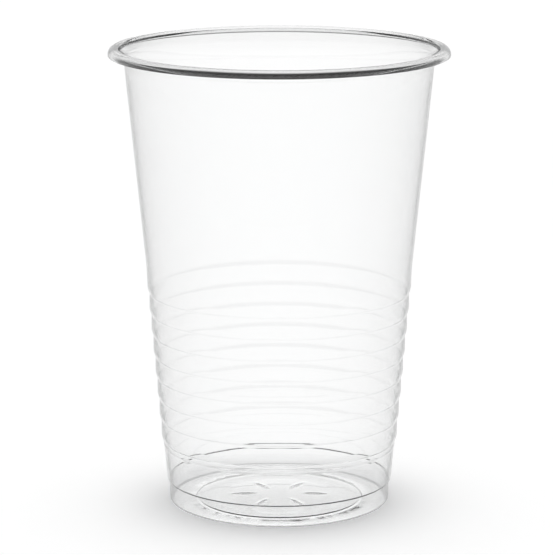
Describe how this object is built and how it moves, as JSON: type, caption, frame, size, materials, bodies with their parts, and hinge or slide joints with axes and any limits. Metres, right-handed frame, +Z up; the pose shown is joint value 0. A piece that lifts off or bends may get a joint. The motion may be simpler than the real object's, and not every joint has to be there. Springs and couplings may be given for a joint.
{
  "type": "plastic disposable cup",
  "caption": "Clear thin-walled tapered drinking cup with a turned-down rim, stepped rings round the lower half and a recessed base.",
  "frame": {"origin": "middle of the circle that the foot ring stands on", "axes": "+Z up along the cup's axis, out of the mouth; the cup is round, so X and Y are any two sides, with the pictured side towards -Y"},
  "size_m": [0.0702, 0.0702, 0.0956],
  "materials": {
    "clear_plastic": "clear, colourless, glossy"
  },
  "bodies": {
    "root": {"cup": "clear_plastic"}
  },
  "joints": []
}
